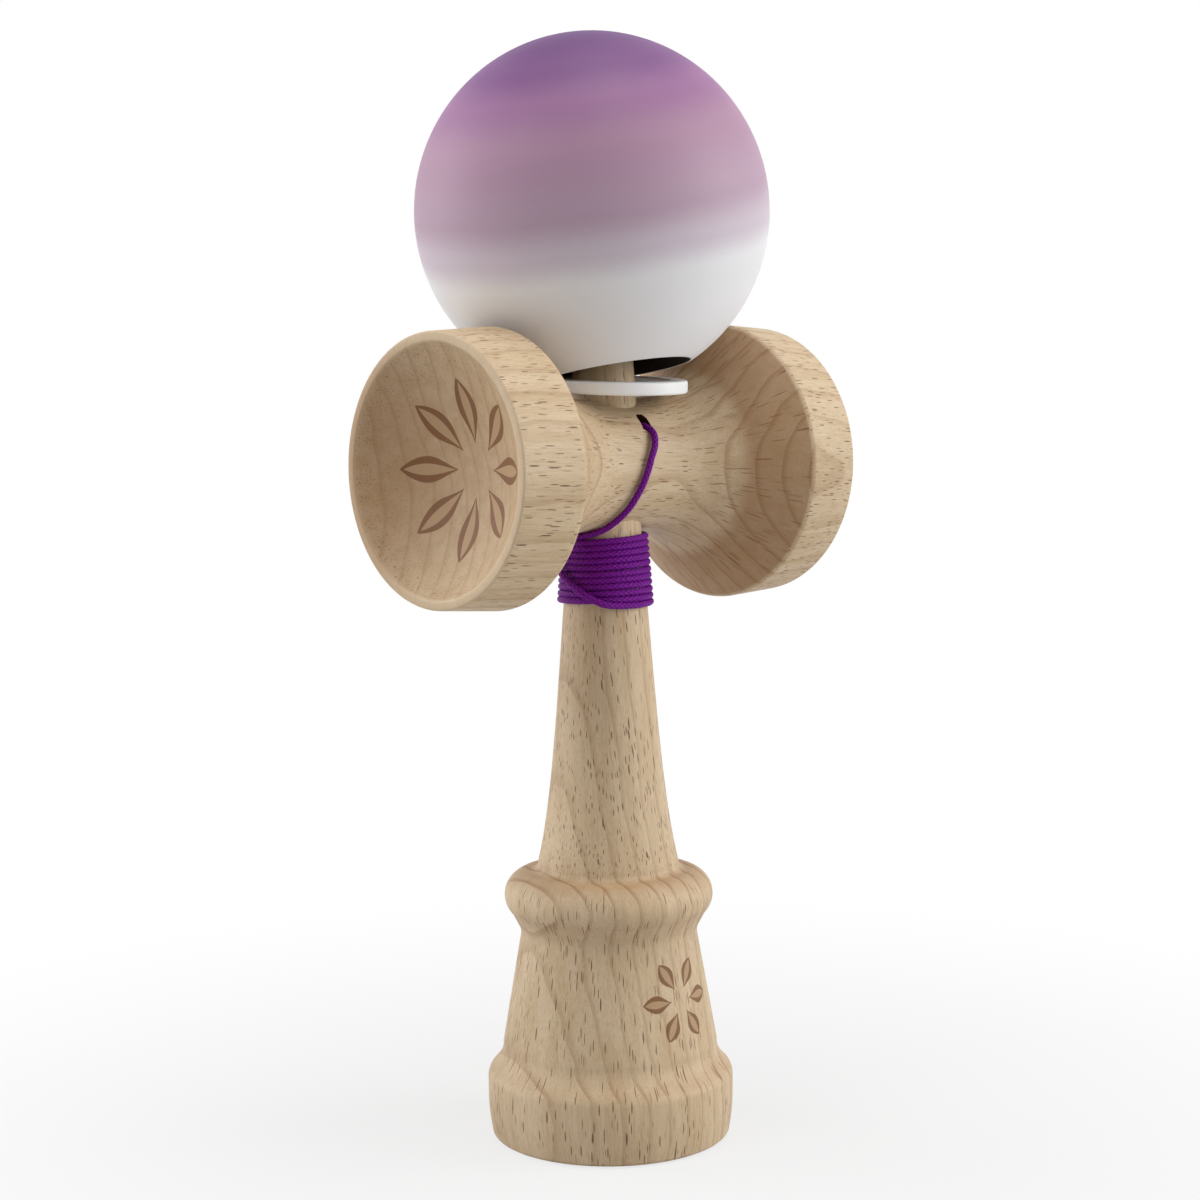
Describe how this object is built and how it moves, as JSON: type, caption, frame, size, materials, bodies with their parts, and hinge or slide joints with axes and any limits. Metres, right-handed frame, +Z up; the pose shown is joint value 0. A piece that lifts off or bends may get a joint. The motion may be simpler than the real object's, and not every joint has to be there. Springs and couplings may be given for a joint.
{
  "type": "kendama",
  "caption": "Turned wooden kendama: ken with spike and base cup, cross-piece with a cup at each end, painted ball resting on the spike, loose ring and string wound round the handle.",
  "frame": {"origin": "middle of the base rim, in the plane that the ken stands on", "axes": "+Z up the ken to the spike, -X towards the small cup, -Y towards the side where the string comes out"},
  "size_m": [0.0756, 0.0622, 0.1898],
  "materials": {
    "wood": "sanded pale beech with short dark flecks, bare",
    "ball_paint": "satin paint fading from purple at the top through mauve to white at the bottom",
    "ring_rubber": "smooth white silicone",
    "bead": "plain moulded",
    "cord": "braided purple cord"
  },
  "bodies": {
    "ken": {"ken": "wood", "sarado": "wood", "string_anchor_knot": "cord", "string_front_run": "cord", "string_winding": "cord", "string_back_run": "cord"},
    "string_end": {"tama_bead": "bead", "string_stopper_knot": "cord"},
    "tama": {"tama": "ball_paint"},
    "ring": {"ring": "ring_rubber"}
  },
  "joints": [
    {"name": "tama_lift", "type": "slide", "parent": "ken", "child": "string_end", "axis": [0, 0, 1], "range_m": [0, 0.045], "deforming": ["string_back_run"]},
    {"name": "tama_spin", "type": "hinge", "parent": "string_end", "child": "tama", "pos_m": [-0.0002, 0.0021, 0.15923], "axis": [-0.044, 0.1644, 0.9854], "continuous": true},
    {"name": "ring_spin", "type": "hinge", "parent": "ken", "child": "ring", "pos_m": [0.0008, -0.0026, 0.12891], "axis": [-0.0192, -0.0663, 0.9976], "continuous": true}
  ]
}
